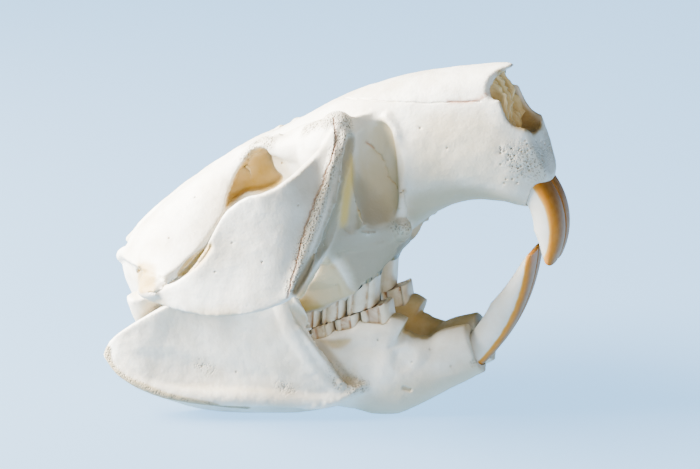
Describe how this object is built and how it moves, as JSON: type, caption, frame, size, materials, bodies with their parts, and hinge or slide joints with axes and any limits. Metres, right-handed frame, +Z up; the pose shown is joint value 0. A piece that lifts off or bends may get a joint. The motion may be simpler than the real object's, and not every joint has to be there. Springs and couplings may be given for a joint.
{
  "type": "beaver skull",
  "caption": "Dry skull of a large gnawing rodent standing on its closed lower jaw, snout raised, with long curved orange front teeth and ridged cheek teeth.",
  "frame": {"origin": "middle of the length and width of the whole skull, on the ground that the lower jaw stands on", "axes": "+X towards the snout, +Y towards the animal's left, +Z up"},
  "size_m": [0.1294, 0.0971, 0.0979],
  "materials": {
    "bone": "dry, matte, slightly chalky",
    "incisor_enamel": "glossy orange enamel, paler dentine behind",
    "cheek_tooth": "satin ivory with brown stains in the grooves"
  },
  "bodies": {
    "root": {"cranium": "bone", "snout": "bone", "cheekbone_right": "bone", "cheekbone_left": "bone", "mandible_right": "bone", "mandible_left": "bone", "upper_incisor_right": "incisor_enamel", "upper_incisor_left": "incisor_enamel", "lower_incisor_right": "incisor_enamel", "lower_incisor_left": "incisor_enamel", "upper_premolar_right": "cheek_tooth", "upper_premolar_left": "cheek_tooth", "upper_molar_1_right": "cheek_tooth", "upper_molar_1_left": "cheek_tooth", "upper_molar_2_right": "cheek_tooth", "upper_molar_2_left": "cheek_tooth", "upper_molar_3_right": "cheek_tooth", "upper_molar_3_left": "cheek_tooth", "lower_premolar_right": "cheek_tooth", "lower_premolar_left": "cheek_tooth", "lower_molar_1_right": "cheek_tooth", "lower_molar_1_left": "cheek_tooth", "lower_molar_2_right": "cheek_tooth", "lower_molar_2_left": "cheek_tooth", "lower_molar_3_right": "cheek_tooth", "lower_molar_3_left": "cheek_tooth"}
  },
  "joints": []
}
